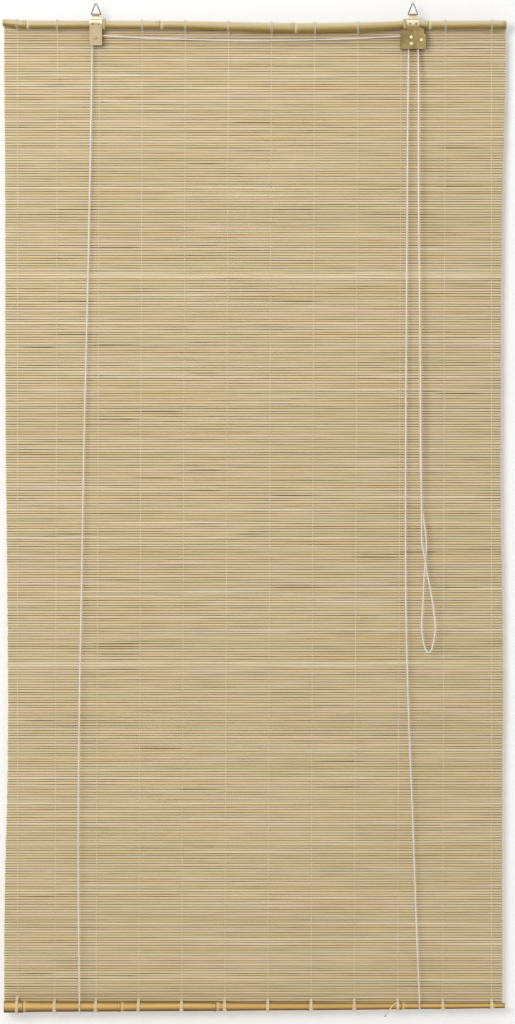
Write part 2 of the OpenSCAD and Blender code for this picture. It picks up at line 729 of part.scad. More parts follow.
module sling(x) {
    r = sling_r(x);
    far = back_y - bottom_y(x);
    tube(concat([[x, bottom_y(x) - r, bottom_z + stub]],
        [for (a = [180 : 22.5 : 360]) [x, bottom_y(x) + (a < 270 ? r : far) * cos(a), bottom_z + r * sin(a)]],
        [[x, back_y, bottom_z + stub]]), [1, 0, 0], cord_d);
}

module cord_slings() {
    color([0.95, 0.94, 0.92]) {
        sling(left_sling_x);
        sling(right_sling_x);
    }
}

module bottom_rail() {
    steps = cane_steps(bottom_knots);
    end = rail_length / 2;
    color([0.78, 0.64, 0.37]) difference() {
        cane(steps, [for (x = steps) [bottom_y(x), bottom_z]],
            [for (x = steps) bottom_r(x) + ridge(x, bottom_knots)]);
        hollow_end(-end, bottom_y(-end), bottom_z, bottom_r(-end));
        hollow_end(end, bottom_y(end), bottom_z, bottom_r(end));
    }
}

top_rail();
mat();
warp_threads();
top_lashings();
left_bracket();
bracket_nails();
left_axle();
left_pulley();
left_ring();
right_ring();
lock_housing();
lock_face();
lock_rivets();
lock_pulley();
lock_spacer();
lock_cam();
cord_ties();
cross_cord();
pull_cord();
left_front_cord();
right_front_cord();
left_back_cord();
right_back_cord();
bottom_rail();
bottom_lashings();
cord_slings();
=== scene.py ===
import math
import random

import bmesh
import bpy
import numpy as np
from mathutils import Matrix, Vector


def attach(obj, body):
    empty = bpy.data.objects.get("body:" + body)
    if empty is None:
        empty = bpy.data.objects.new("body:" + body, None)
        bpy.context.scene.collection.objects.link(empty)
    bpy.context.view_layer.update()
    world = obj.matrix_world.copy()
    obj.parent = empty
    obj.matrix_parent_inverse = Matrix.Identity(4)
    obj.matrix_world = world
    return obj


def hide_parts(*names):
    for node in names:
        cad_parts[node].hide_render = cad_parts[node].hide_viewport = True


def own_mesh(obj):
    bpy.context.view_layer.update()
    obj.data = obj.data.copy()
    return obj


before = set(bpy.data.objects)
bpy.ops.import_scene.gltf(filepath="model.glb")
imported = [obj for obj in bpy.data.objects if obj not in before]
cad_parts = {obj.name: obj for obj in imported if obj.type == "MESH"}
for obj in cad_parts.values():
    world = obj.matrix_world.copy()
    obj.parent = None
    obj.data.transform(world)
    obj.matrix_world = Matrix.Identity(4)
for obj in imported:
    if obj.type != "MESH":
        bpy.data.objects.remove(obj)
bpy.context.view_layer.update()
mm = 0.001

# The blind's own sizes in millimetres: it faces -Y and hangs from the origin's height.
blind = {
    "railZ": -32.0,  # axis of the top cane at the brackets
    "bottomZ": -1594.0,  # axis of the bottom cane
    "halfLength": 400.0,  # of both canes
    "halfWidth": 396.0,  # of the mat
    "bracketX": 252.0,  # of each bracket from the middle
    "matFront": 9.4,
    "matBack": 11.4,
    "rows": 383,  # splints in the mat
    "pitch": 4.07,  # mean width of a splint with its gap
    "backY": 13.4,  # of the cords behind the mat
    "cord": 2.4,  # diameter
    "raise": 1450.0,  # travel of the bottom cane
    "spread": 0.14,  # how much the splints differ in width, as a share
    "swing": 137.5,  # degrees from one splint's width to the next one's
    "warps": 12,  # threads down the mat
    "warpHalf": 377.5,  # from the middle to the outer threads
    "warpDraw": (7, 13),  # how far left the inner threads lie, at the mat's top edge and at its foot
}
matMid = (blind["matFront"] + blind["matBack"]) / 2


def splintSize(i):
    return blind["pitch"] * (1 + blind["spread"] * math.sin(math.radians(blind["swing"] * i)))


def threadPlaces(draw):
    steps = [2 * k / (blind["warps"] - 1) - 1 for k in range(blind["warps"])]
    return [blind["warpHalf"] * t - draw * (1 - t**6) for t in steps]


# where one splint ends and the next begins, from the top
splintSizes = [splintSize(i) for i in range(blind["rows"])]
valleys = blind["railZ"] - np.concatenate([[0], np.cumsum(splintSizes)])
warps, feet = [threadPlaces(draw) for draw in blind["warpDraw"]]


def threadX(k, z):
    return warps[k] + (feet[k] - warps[k]) * (z - valleys[0]) / (valleys[-1] - valleys[0])


def bell(x, middle, reach):  # 1 at the middle, fading out on both sides
    return math.exp(-(((x - middle) / reach) ** 2))


topForm = {
    "radius": 6.4,  # in the brackets
    "back": 6.4,  # y of its back
    "grip": 28,  # how far along it a bracket's hold reaches
    "bend": (80, 150),  # middle and reach
    "swell": (0.5, 1.4),  # how much thicker it is outside the brackets, and in the bend besides
    "drop": (0.5, 5.3),  # how much lower it lies, likewise
    "tip": (-400.0, 24),  # the left end
    "tipThin": 0.9,  # how much thinner it is there
    "tipRise": 3.4,  # and how much higher
}


def topCane(x):  # radius, y and z of the top cane at a place along it
    free = 1 - bell(abs(x), blind["bracketX"], topForm["grip"])
    bend, tip = bell(x, *topForm["bend"]), bell(x, *topForm["tip"])
    (swell, bendSwell), (drop, bendDrop) = topForm["swell"], topForm["drop"]
    r = topForm["radius"] + (swell + bendSwell * bend) * free - topForm["tipThin"] * tip
    z = blind["railZ"] - (drop + bendDrop * bend) * free + topForm["tipRise"] * tip
    return r, topForm["back"] - r, z


bottomForm = {
    "radius": 6.6,  # in the middle
    "back": 9.0,
    "taper": 0.0055,
    "tip": (-392, 38),  # the thicker left end
    "lift": 0.6,  # above bottomZ
    "rise": 1.2,  # of the right end above the middle
}


def bottomCane(x):
    r = bottomForm["radius"] - bottomForm["taper"] * x + bell(x, *bottomForm["tip"])
    rise = bottomForm["rise"] * (max(x, 0) / blind["halfLength"]) ** 2
    return r, bottomForm["back"] - r, blind["bottomZ"] + bottomForm["lift"] + rise


def tint(*levels):  # a colour as a paint program gives it
    parts = [v / 255 for v in levels]
    return tuple(v / 12.92 if v <= 0.04045 else ((v + 0.055) / 1.055) ** 2.4 for v in parts) + (1,)


class Wire:  # a socket to reckon with
    def __init__(self, tree, socket=None):
        self.tree, self.socket = tree, socket

    def node(self, kind, settings=None, values=None, out=0):
        made = self.tree.nodes.new(kind)
        for name, value in (settings or {}).items():
            if name == "stops":
                while len(made.color_ramp.elements) < len(value):
                    made.color_ramp.elements.new(1)
                for stop, (at, colour) in zip(made.color_ramp.elements, value):
                    stop.position, stop.color = at, colour
            else:
                setattr(made, name, value)
        for name, value in (values or {}).items():
            if isinstance(value, Wire):
                self.tree.links.new(value.socket, made.inputs[name])
            else:
                made.inputs[name].default_value = value
        return Wire(self.tree, made.outputs[out])

    def maths(self, operation, first, second=0.0):
        return self.node("ShaderNodeMath", {"operation": operation}, {0: first, 1: second})

    def __add__(self, other):
        return self.maths("ADD", self, other)

    def __sub__(self, other):
        return self.maths("SUBTRACT", self, other)

    def __rsub__(self, other):
        return self.maths("SUBTRACT", other, self)

    def __mul__(self, other):
        return self.maths("MULTIPLY", self, other)

    __radd__ = __add__
    __rmul__ = __mul__

    def between(self, low, high):  # this value as a mask, from one colour to the other
        settings = {"data_type": "RGBA", "clamp_factor": True}
        return self.node("ShaderNodeMix", settings, {0: self, 6: low, 7: high}, 2)

    def ranged(self, low, high, start=0.0, end=1.0):
        values = {"From Min": low, "From Max": high, "To Min": start, "To Max": end}
        return self.node("ShaderNodeMapRange", {"clamp": True}, {"Value": self, **values})

    def noise(self, stretch, detail, rough=0.5):  # stretched noise on this place
        at = self.node("ShaderNodeMapping", None, {"Vector": self, "Scale": stretch})
        values = {"Vector": at, "Scale": 1.0, "Detail": detail, "Roughness": rough}
        return self.node("ShaderNodeTexNoise", None, values)

    def own(self, name):  # a value that the piece carries on its points
        return self.node("ShaderNodeAttribute", {"attribute_name": name}, None, "Fac")

    def axis(self, name):
        return self.node("ShaderNodeSeparateXYZ", None, {"Vector": self}, name)

    def bump(self, height, depth, strength):
        values = {"Height": height, "Distance": depth, "Strength": strength}
        return self.node("ShaderNodeBump", None, values)


def newFinish(name, constants):  # a material, its place wire and its shader
    made = bpy.data.materials.new(name)
    made.use_nodes = True
    shader = made.node_tree.nodes["Principled BSDF"]
    for socket, value in constants.items():
        shader.inputs[socket].default_value = value
    start = Wire(made.node_tree)
    place = start.node("ShaderNodeTexCoord", None, None, "Object")
    return made, place, shader


def connect(shader, feeds):
    for socket, wire in feeds.items():
        wire.tree.links.new(wire.socket, shader.inputs[socket])


def splintFinish():
    made, place, shader = newFinish("splitBamboo", {"Specular IOR Level": 0.3})
    tone, rim = place.own("tone"), place.own("rim")
    fibres = place.noise((5, 900, 1100), 3)
    patches = place.noise((3, 90, 240), 2)
    stops = [
        (0.0, tint(204, 186, 146)),
        (0.2, tint(217, 199, 160)),
        (0.4, tint(223, 203, 168)),
        (0.55, tint(211, 196, 154)),
        (0.7, tint(225, 202, 172)),
        (0.85, tint(216, 194, 150)),
        (1.0, tint(231, 214, 180)),
    ]
    straw = tone.node("ShaderNodeValToRGB", {"stops": stops}, {"Fac": tone})
    honey = patches.ranged(0.5, 0.75).between(straw, tint(212, 187, 136))
    green = patches.ranged(0.46, 0.28).between(honey, tint(204, 192, 148))
    grain = fibres.ranged(0.4, 0.75, 0.0, 0.3).between(green, tint(184, 160, 116))
    connect(shader, {
        "Base Color": rim.between(grain, tint(104, 80, 42)),  # painted shade: the split sides are darker than the face, for the shade in the gaps between splints
        "Roughness": fibres.ranged(0.2, 0.8, 0.5, 0.72),
        "Normal": place.bump(fibres, 0.0002, 0.4),
    })
    return made


def threadFinish(name, pale, grey, tip=None):  # tip: where along it the end turns brown
    made, place, shader = newFinish(name, {"Specular IOR Level": 0.3, "Sheen Weight": 0.25})
    ply = place.noise((2600, 2600, 900), 2)
    wear = place.noise((9, 9, 9), 2)
    colour = (ply * 0.5 + wear * 0.5).ranged(0.3, 0.7).between(grey, pale)
    if tip:
        colour = place.own("along").ranged(*tip).between(colour, tint(112, 78, 40))
    connect(shader, {
        "Base Color": colour,
        "Roughness": ply.ranged(0.2, 0.8, 0.7, 0.9),
        "Normal": place.bump(ply, 0.0002, 0.7),
    })
    return made


braid = {"pitch": 0.0042, "strands": 3}


def cordFinish(name, stain=None):  # stain: where along it the colour of the cane fades out
    made, place, shader = newFinish(name, {"Specular IOR Level": 0.35, "Sheen Weight": 0.3})
    way = place.node("ShaderNodeTexCoord", None, None, "UV")
    along, turn = way.axis("X"), way.axis("Y")
    twoPi = 2 * math.pi
    run, wind = twoPi / braid["pitch"], twoPi * braid["strands"]
    left = place.maths("SINE", along * run + turn * wind)
    right = place.maths("SINE", along * run - turn * wind)
    plait = place.maths("MAXIMUM", left, right) * 0.5 + 0.5
    wear = place.noise((14, 14, 14), 3)
    pale = wear.ranged(0.3, 0.7).between(tint(226, 217, 211), tint(240, 232, 227))
    # painted shade: the braid's grooves between strands are darker than the strands
    colour = plait.ranged(0.1, 0.75).between(tint(194, 181, 172), pale)
    if stain:
        colour = place.own("along").ranged(*stain, 0.9, 0.0).between(colour, tint(190, 170, 118))
    connect(shader, {
        "Base Color": colour,
        "Roughness": plait.ranged(0.0, 1.0, 0.85, 0.6),
        "Normal": place.bump(plait, 0.00022, 0.8),
    })
    return made


def caneFinish(name, colours):  # skin, streaks and joint rings, with painted shade on its underside and a painted crest along its top
    made, place, shader = newFinish(name, {"Specular IOR Level": 0.35, "Coat Roughness": 0.25})
    under, ring, bloom = place.own("under"), place.own("ring"), place.own("bloom")
    streaks = place.noise((9, 700, 700), 3)
    broad = place.noise((6, 60, 60), 2)
    skin = broad.ranged(0.35, 0.7).between(colours["skin"], colours["second"])
    lined = streaks.ranged(0.45, 0.75, 0, 0.55).between(skin, colours["streak"])
    # painted shade: the colour darkens towards the cane's underside
    below = (under + broad * 0.3 - 0.15).ranged(*colours["shade"]).between(lined, colours["under"])
    # painted crest along the top: a painted highlight on the pale cane, painted shade on the honey cane
    paintedCrest = (under + broad * 0.1).ranged(0.3, 0.12).between(below, colours["paintedCrest"])
    pale = (bloom * 0.7).between(paintedCrest, colours["bloom"])
    connect(shader, {
        "Base Color": ring.between(pale, colours["ring"]),
        "Roughness": streaks.ranged(0.2, 0.8, 0.28, 0.46),
        "Coat Weight": broad.ranged(0.3, 0.7, 0.05, 0.2),
        "Normal": place.bump(streaks, 0.00015, 0.35),
    })
    return made


def pithFinish():  # the raw cut ends of a cane
    made, place, shader = newFinish("cutCane", {"Specular IOR Level": 0.2})
    dots = place.noise((60, 2200, 2200), 2)
    connect(shader, {
        "Base Color": dots.ranged(0.35, 0.65).between(tint(150, 120, 74), tint(214, 190, 140)),
        "Roughness": dots.ranged(0.2, 0.8, 0.75, 0.95),
        "Normal": place.bump(dots, 0.0002, 0.6),
    })
    return made


def metalFinish(name, bright, dull, rough, metal=1.0, paintedGlare=None):  # pressed sheet, wire or rivets
    made, place, shader = newFinish(name, {"Metallic": metal})
    cloud = place.noise((70, 70, 70), 4, 0.6)
    scratch = place.noise((220, 1500, 2600), 3, 0.6)
    colour = (cloud * 0.7 + scratch * 0.3).ranged(0.36, 0.62).between(dull, bright)
    if paintedGlare:  # painted highlight where the sheet bends over the cane
        z = place.axis("Z") + (cloud - 0.5) * 0.006
        glareMask = z.ranged(paintedGlare[0], paintedGlare[1]) * z.ranged(paintedGlare[3], paintedGlare[2])
        colour = (glareMask * cloud.ranged(0.3, 0.6, 0.65, 1.0)).between(colour, paintedGlare[4])
    connect(shader, {
        "Base Color": colour,
        "Roughness": (cloud * 0.5 + scratch * 0.5).ranged(0.3, 0.7, rough[0], rough[1]),
        "Normal": place.bump(cloud * 0.6 + scratch * 0.4, 0.00012, 0.25),
    })
    return made


def wheelFinish():
    made, place, shader = newFinish("whitePlastic", {"Specular IOR Level": 0.45})
    cloud = place.noise((120, 120, 120), 3)
    connect(shader, {
        "Base Color": cloud.ranged(0.3, 0.7).between(tint(222, 217, 203), tint(238, 235, 226)),
        "Roughness": cloud.ranged(0.3, 0.7, 0.35, 0.55),
        "Normal": place.bump(cloud, 0.0001, 0.2),
    })
    return made


splitBamboo = splintFinish()
warpThread = threadFinish("warpThread", tint(234, 227, 213), tint(198, 185, 154))
lashThread = threadFinish("lashThread", tint(238, 231, 217), tint(212, 201, 182))
footThread = threadFinish("footThread", tint(243, 228, 196), tint(222, 201, 160))
looseThread = threadFinish("looseThread", tint(242, 228, 176), tint(212, 190, 132), (0.0265, 0.0295))
braidedCord = cordFinish("braidedCord")
tiedCord = cordFinish("tiedCord", (0.072, 0.09))
paleCane = caneFinish("paleCane", {
    "skin": tint(206, 188, 146),
    "second": tint(192, 176, 124),
    "streak": tint(164, 138, 88),
    # under: painted shade on the underside
    "under": tint(134, 112, 48),
    "shade": (0.4, 0.8),
    # painted highlight along the top edge
    "paintedCrest": tint(224, 214, 188),
    "ring": tint(104, 76, 36),
    "bloom": tint(220, 208, 176),
})
honeyCane = caneFinish("honeyCane", {
    "skin": tint(208, 168, 88),
    "second": tint(222, 186, 108),
    "streak": tint(178, 130, 60),
    # under: painted shade on the underside
    "under": tint(98, 64, 20),
    "shade": (0.48, 0.88),
    # painted shade along the top edge, where the mat meets the cane
    "paintedCrest": tint(136, 102, 48),
    "ring": tint(98, 60, 24),
    "bloom": tint(228, 198, 130),
})
cutCane = pithFinish()
# the last entry of a sheet's finish is its painted highlight: the z band over the cane and its colour
plateBrass = metalFinish("plateBrass", tint(160, 145, 115), tint(141, 126, 96), (0.36, 0.52), 0.7,
                         (-0.0325, -0.0290, -0.0225, -0.0190, tint(228, 218, 194)))
axleBrass = metalFinish("axleBrass", tint(196, 180, 146), tint(150, 134, 102), (0.3, 0.45), 0.8)
lockBrass = metalFinish("lockBrass", tint(158, 139, 94), tint(132, 113, 73), (0.32, 0.48), 0.85,
                        (-0.0370, -0.0310, -0.0200, -0.0165, tint(216, 204, 172)))
faceBrass = metalFinish("faceBrass", tint(148, 129, 84), tint(122, 103, 64), (0.32, 0.48), 0.85,
                        (-0.0370, -0.0310, -0.0200, -0.0165, tint(216, 204, 172)))
rivetBrass = metalFinish("rivetBrass", tint(250, 240, 206), tint(224, 206, 160), (0.16, 0.3))
camBrass = metalFinish("camBrass", tint(196, 178, 130), tint(166, 146, 100), (0.25, 0.45))
steelWire = metalFinish("steelWire", tint(108, 108, 104), tint(66, 66, 64), (0.2, 0.4))
nailSteel = metalFinish("nailSteel", tint(138, 126, 104), tint(96, 88, 74), (0.35, 0.55))
whitePlastic = wheelFinish()
print("finishes:", len(bpy.data.materials))


def smoothRoute(points, step):  # a rounded line through the points, about step apart
    pts = [Vector(p) for p in points]
    ends = [2 * pts[0] - pts[1]] + pts + [2 * pts[-1] - pts[-2]]
    route = []
    for a, b, c, d in zip(ends, ends[1:], ends[2:], ends[3:]):
        ta, tb, tc = [max((q - p).length, 1e-9) ** 0.5 for p, q in ((a, b), (b, c), (c, d))]
        m1 = (c - b) + tb * ((b - a) / ta - (c - a) / (ta + tb))
        m2 = (c - b) + tb * ((d - c) / tc - (d - b) / (tb + tc))
        count = max(1, round((c - b).length / step))
        for i in range(count):
            t = i / count
            route.append((2 * t**3 - 3 * t**2 + 1) * b + (t**3 - 2 * t**2 + t) * m1
                         + (3 * t**2 - 2 * t**3) * c + (t**3 - t**2) * m2)
    return route + [pts[-1]]


def placesAlong(route, side):  # a matrix at each point, turned along the route without twist
    found, cross = [], Vector(side)
    for i, p in enumerate(route):
        ahead = (route[min(i + 1, len(route) - 1)] - route[max(i - 1, 0)]).normalized()
        cross = (cross - cross.dot(ahead) * ahead).normalized()
        up = ahead.cross(cross)
        found.append(Matrix((cross, up, ahead)).transposed().to_4x4())
        found[-1].translation = p
    return found


def sweep(bm, places, sides, capped=True):  # a ring of radius 1 extruded from place to place
    along = bm.verts.layers.float.get("along") or bm.verts.layers.float.new("along")
    turn = bm.verts.layers.float.get("turn") or bm.verts.layers.float.new("turn")
    ring = bmesh.ops.create_circle(bm, cap_ends=False, radius=1.0, segments=sides)["verts"]
    for v in ring:
        v[turn] = math.atan2(v.co.y, v.co.x) / (2 * math.pi) % 1
    edges = list({e for v in ring for e in v.link_edges})
    bmesh.ops.transform(bm, matrix=places[0], verts=ring)
    first, far = edges, 0.0
    for last, here in zip(places, places[1:]):
        far += (here.translation - last.translation).length
        grown = bmesh.ops.extrude_edge_only(bm, edges=edges)["geom"]
        ring = [g for g in grown if isinstance(g, bmesh.types.BMVert)]
        edges = [g for g in grown if isinstance(g, bmesh.types.BMEdge) and len(g.link_faces) == 1]
        bmesh.ops.transform(bm, matrix=here @ last.inverted(), verts=ring)
        for v in ring:
            v[along] = far
    caps = []
    if capped:
        for loop in (first, edges):
            caps += bmesh.ops.edgeloop_fill(bm, edges=loop)["faces"]
    return caps


def layUv(bm):  # the way along a cord and round it, for its plait
    along, turn = bm.verts.layers.float["along"], bm.verts.layers.float["turn"]
    uv = bm.loops.layers.uv.new("UVMap")
    for face in bm.faces:
        turns = [loop.vert[turn] for loop in face.loops]
        wraps = max(turns) - min(turns) > 0.5
        for loop, t in zip(face.loops, turns):
            loop[uv].uv = (loop.vert[along], t + 1 if wraps and t < 0.5 else t)


def finishPiece(name, bm, finishes, body, replaced=()):
    bmesh.ops.recalc_face_normals(bm, faces=bm.faces)
    mesh = bpy.data.meshes.new(name)
    bm.to_mesh(mesh)
    bm.free()
    mesh.shade_smooth()
    return addPiece(name, mesh, finishes, body, replaced)


def addPiece(name, mesh, finishes, body, replaced=()):
    piece = bpy.data.objects.new(name, mesh)
    bpy.context.scene.collection.objects.link(piece)
    for finish in finishes:
        mesh.materials.append(finish)
    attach(piece, body)
    if replaced:
        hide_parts(*replaced)
    return piece


def rollUp(piece, top, low):  # gives the piece a mesh of its own; it is not gathered under the top cane as the blind is raised
    keep = 1 - blind["raise"] / (top - low)
    top * mm
    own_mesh(piece)


def evaluated(holder):  # its finished mesh, in place of the object
    mesh = bpy.data.meshes.new_from_object(holder.evaluated_get(bpy.context.evaluated_depsgraph_get()))
    bpy.data.objects.remove(holder)
    return mesh


def metres(points):
    return [Vector(p) * mm for p in points]


studio = {
    "away": 5.0,  # camera to the blind
    "frame": 1.628,  # height of the picture at the blind
    "sensor": 36,  # of the camera
    "middle": (0.0048, -0.807),
    "wallY": 0.026,
    "wallZ": -0.8,
    "floorZ": -1.74,
    "half": 9,  # of the wall and the floor
    "world": 0.55,
    "key": (69, 1.6, 1.6, (-1.5, -3.3, 0.25), (0.2, 0, 0.9)),  # power, two sides, place and target
    "above": (16, 2.4, 1.2, (0, -1.3, 2.3), (0, 0, -0.05)),
    "rear": (26, 1.6, 1.6, (1.6, 2.8, 0.6), (0, 0, -0.8)),
    "paint": 0.85,
    "glow": (0.08, 0.16),  # of the wall, at its head and foot
    "foot": -1.62,
}


def aim(obj, target):
    obj.rotation_euler = (Vector(target) - obj.location).to_track_quat("-Z", "Y").to_euler()


def addLamp(name):
    power, wide, high, place, target = studio[name]
    lamp = bpy.data.objects.new(name, bpy.data.lights.new(name, "AREA"))
    lamp.data.shape, lamp.data.energy = "RECTANGLE", power
    lamp.data.size, lamp.data.size_y = wide, high
    lamp.location = place
    bpy.context.scene.collection.objects.link(lamp)
    aim(lamp, target)


def showFront(finish, surface, seen=1.0):  # from behind, the finish is clear
    wire = Wire(finish.node_tree)
    front = 1 - wire.node("ShaderNodeNewGeometry", None, None, "Backfacing")
    clear = wire.node("ShaderNodeBsdfTransparent")
    shown = wire.node("ShaderNodeMixShader", None, {0: front * seen, 1: clear, 2: surface})
    connect(finish.node_tree.nodes["Material Output"], {"Surface": shown})


def wallFinish():  # only the camera sees the wall, so light reaches the blind's back
    made = bpy.data.materials.new("wallPaper")
    made.use_nodes = True
    made.node_tree.nodes.remove(made.node_tree.nodes["Principled BSDF"])
    wire = Wire(made.node_tree)
    camera = wire.node("ShaderNodeLightPath", None, None, "Is Camera Ray")
    place = wire.node("ShaderNodeTexCoord", None, None, "Object")
    paint = wire.node("ShaderNodeBsdfDiffuse", None, {"Color": [studio["paint"]] * 3 + [1]})
    even = place.axis("Z").ranged(0, studio["foot"], *studio["glow"])  # makes up for the key's fall-off
    glow = wire.node("ShaderNodeEmission", None, {"Color": (1, 1, 1, 1), "Strength": even})
    white = wire.node("ShaderNodeAddShader", None, {0: paint, 1: glow})
    showFront(made, white, camera)
    return made


def floorFinish():
    made, place, shader = newFinish("paleFloor", {"Roughness": 0.8})
    cloud = place.noise((3, 3, 3), 2)
    pale = cloud.ranged(0.3, 0.7).between(tint(236, 236, 234), tint(242, 242, 240))
    connect(shader, {"Base Color": pale})
    showFront(made, Wire(made.node_tree, shader.outputs["BSDF"]))
    return made


def addSheet(name, turn, place, finish, cut=None):  # a flat sheet of the stage, cleared below the cut
    bm = bmesh.new()
    bmesh.ops.create_grid(bm, x_segments=1, y_segments=1, size=studio["half"])
    bmesh.ops.rotate(bm, cent=(0, 0, 0), matrix=Matrix.Rotation(turn, 3, "X"), verts=bm.verts)
    bmesh.ops.translate(bm, vec=place, verts=bm.verts)
    if cut is not None:
        bmesh.ops.bisect_plane(bm, geom=bm.verts[:] + bm.edges[:] + bm.faces[:], plane_co=(0, 0, cut),
                               plane_no=(0, 0, -1), clear_outer=True)
    mesh = bpy.data.meshes.new(name)
    bm.to_mesh(mesh)
    bm.free()
    mesh.materials.append(finish)
    sheet = bpy.data.objects.new(name, mesh)
    bpy.context.scene.collection.objects.link(sheet)


def addStage():
    scene = bpy.context.scene
    camera = bpy.data.objects.new("camera", bpy.data.cameras.new("camera"))
    x, z = studio["middle"]
    camera.location = (x, -studio["away"], z)
    camera.rotation_euler = (math.pi / 2, 0, 0)
    camera.data.lens = studio["sensor"] * studio["away"] / studio["frame"]
    scene.collection.objects.link(camera)
    scene.camera = camera
    scene.view_settings.view_transform = "Standard"

    world = bpy.data.worlds.new("studio")
    scene.world = world
    world.use_nodes = True
    sky = Wire(world.node_tree)
    rays = ("Is Camera Ray", "Is Glossy Ray", "Is Transmission Ray")
    seen = [sky.node("ShaderNodeLightPath", None, None, ray) for ray in rays]
    plain = sky.maths("MAXIMUM", sky.maths("MAXIMUM", seen[0], seen[1]), seen[2])
    back = world.node_tree.nodes["Background"]
    back.inputs["Color"].default_value = (1, 1, 1, 1)
    connect(back, {"Strength": plain * (1 - studio["world"]) + studio["world"]})

    for name in ("key", "above", "rear"):
        addLamp(name)

    wallPlace, floorPlace = (0, studio["wallY"], studio["wallZ"]), (0, 0, studio["floorZ"])
    addSheet("wall", math.pi / 2, wallPlace, wallFinish(), studio["floorZ"])
    addSheet("floor", 0, floorPlace, floorFinish())


addStage()
print("stage set")

cordRuns = {
    "leftX": -257.8,  # where the front cords leave their pulleys
    "rightX": 245.0,
    # x of the axle, how far its strands lie to the front and back, z, and radius of the cord's path
    "leftPulley": (-252.0, 0.0, -54.7, 5.8),
    "lockPulley": (249.2, 2.0, -53.2, 4.2),
    # the front runs' way to the side, and the share of the way down
    "leftSteps": [(0, 0), (-2.5, 0.1), (-7, 0.25), (-12.5, 0.4), (-16.5, 0.55), (-20.5, 0.7), (-22, 0.85),
                  (-20, 1)],
    "rightSteps": [(0, 0), (-1.5, 0.1), (-3, 0.25), (-4.5, 0.4), (-5, 0.5), (-4, 0.6), (0, 0.7), (6, 0.8),
                   (11.5, 0.9), (17.5, 1)],
    # the pull loop, from the top cane's axis at the lock
    "down": [(8, -2.4, -41), (8.2, -4.5, -58), (8.3, -8.6, -96), (8.6, -8.6, -280), (11, -8.6, -520),
             (13, -8.6, -756), (14, -8.6, -824), (19, -8.6, -852), (22, -8.6, -872), (29, -8.6, -908),
             (33.5, -8.6, -940), (35, -8.6, -960), (32, -8.6, -982), (28, -8, -996), (24.5, -7, -999)],
    "up": [(21, -6, -996), (16, -5.8, -980), (13.5, -5.8, -956), (15, -5.8, -930), (16.5, -5.8, -900),
           (18, -5.8, -870), (19.5, -5.8, -850), (21, -5.8, -824), (13.5, -5.8, -756), (11, -5.8, -520),
           (8.6, -5.8, -280), (8.3, -5.5, -96), (8.2, 0, -58), (8, 1.8, -41)],
    "sag": 8.0,  # of the cord across
    "span": (0.04, 0.96, 24),  # share of the way across, from and to, and points
    "stub": 0.6,  # how far a wrapped cord runs on past an axle or a cane's axis
    "start": 0.9,  # how far from there a hanging run begins
    "clear": 0.4,  # round a cane
    "tieLeft": -240.3,
    "tieRight": 239.95,
    "tieWidth": 2.7,
    "tieTurns": (240, -271, -15),  # degrees
    "tieOver": [(5.2, 7.6), (9.4, 5.4), (12.4, 2), (13.4, -3), (13.4, -8)],  # over the mat's edge: y and z
    "backTop": 8.3,  # from the top cane's axis down to a back run
    "sides": 10,
    "step": 0.004,  # between the points of a route, in metres
    "longStep": 0.006,
    "tieStep": 0.0015,
    "slingStep": 0.002,
}
cordR = blind["cord"] / 2


def wrapped(x, y, z, r, start, end, count):
    turns = [math.radians(start + (end - start) * i / count) for i in range(count + 1)]
    return [(x + r * math.cos(a), y, z + r * math.sin(a)) for a in turns]


def makeCord(name, routes, body, replaced, step=cordRuns["step"], side=(0, 1, 0), finish=braidedCord):
    bm = bmesh.new()
    for route in routes:
        points = smoothRoute(metres(route), step)
        places = [place @ Matrix.Scale(cordR * mm, 4) for place in placesAlong(points, side)]
        sweep(bm, places, cordRuns["sides"])
    layUv(bm)
    return finishPiece(name, bm, [finish], body, replaced), points


def slingRadius(x):
    return bottomCane(x)[0] + cordR + cordRuns["clear"]


def frontRun(steps, x, y, z):
    end = x + steps[-1][0]
    _, caneY, caneZ = bottomCane(end)
    high, low = z - cordRuns["start"], caneZ + cordRuns["start"]
    lastY = caneY - slingRadius(end)
    return [(x + dx, y + (lastY - y) * s, high + (low - high) * s) for dx, s in steps]


